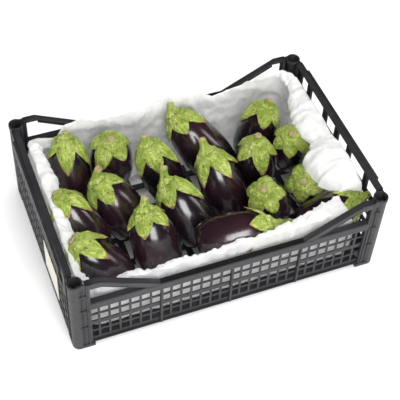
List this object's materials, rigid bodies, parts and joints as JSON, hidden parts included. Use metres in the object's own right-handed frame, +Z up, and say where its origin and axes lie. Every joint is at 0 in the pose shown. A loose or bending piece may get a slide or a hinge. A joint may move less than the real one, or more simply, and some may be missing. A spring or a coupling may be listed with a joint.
{
  "type": "crate of eggplants",
  "caption": "Large dark purple eggplants with green calyxes, standing and lying in a charcoal slatted plastic crate lined with white tissue paper.",
  "frame": {"origin": "on the ground under the middle of the crate", "axes": "+X along the crate's long side, +Y towards its back, +Z up"},
  "size_m": [0.593, 0.401, 0.185],
  "materials": {
    "crate_plastic": "satin, slightly scuffed",
    "tissue_paper": "crumpled, matte",
    "card": "matte",
    "eggplant_skin": "glossy waxy skin",
    "calyx_green": "matte, veined"
  },
  "bodies": {
    "root": {"floor": "crate_plastic", "front_grille": "crate_plastic", "front_rail": "crate_plastic", "back_grille": "crate_plastic", "back_rail": "crate_plastic", "left_grille": "crate_plastic", "left_rail": "crate_plastic", "right_grille": "crate_plastic", "right_rail": "crate_plastic", "post_front_left": "crate_plastic", "post_front_right": "crate_plastic", "post_back_right": "crate_plastic", "post_back_left": "crate_plastic", "tissue_liner": "tissue_paper", "card_label": "card", "eggplant_01_fruit": "eggplant_skin", "eggplant_01_calyx": "calyx_green", "eggplant_02_fruit": "eggplant_skin", "eggplant_02_calyx": "calyx_green", "eggplant_03_fruit": "eggplant_skin", "eggplant_03_calyx": "calyx_green", "eggplant_04_fruit": "eggplant_skin", "eggplant_04_calyx": "calyx_green", "eggplant_05_fruit": "eggplant_skin", "eggplant_05_calyx": "calyx_green", "eggplant_06_fruit": "eggplant_skin", "eggplant_06_calyx": "calyx_green", "eggplant_07_fruit": "eggplant_skin", "eggplant_07_calyx": "calyx_green", "eggplant_08_fruit": "eggplant_skin", "eggplant_08_calyx": "calyx_green", "eggplant_09_fruit": "eggplant_skin", "eggplant_09_calyx": "calyx_green", "eggplant_10_fruit": "eggplant_skin", "eggplant_10_calyx": "calyx_green", "eggplant_11_fruit": "eggplant_skin", "eggplant_11_calyx": "calyx_green", "eggplant_12_fruit": "eggplant_skin", "eggplant_12_calyx": "calyx_green", "eggplant_13_fruit": "eggplant_skin", "eggplant_13_calyx": "calyx_green", "eggplant_14_fruit": "eggplant_skin", "eggplant_14_calyx": "calyx_green", "eggplant_15_fruit": "eggplant_skin", "eggplant_15_calyx": "calyx_green", "eggplant_16_fruit": "eggplant_skin", "eggplant_16_calyx": "calyx_green", "eggplant_17_fruit": "eggplant_skin", "eggplant_17_calyx": "calyx_green", "eggplant_18_fruit": "eggplant_skin", "eggplant_18_calyx": "calyx_green"}
  },
  "joints": []
}
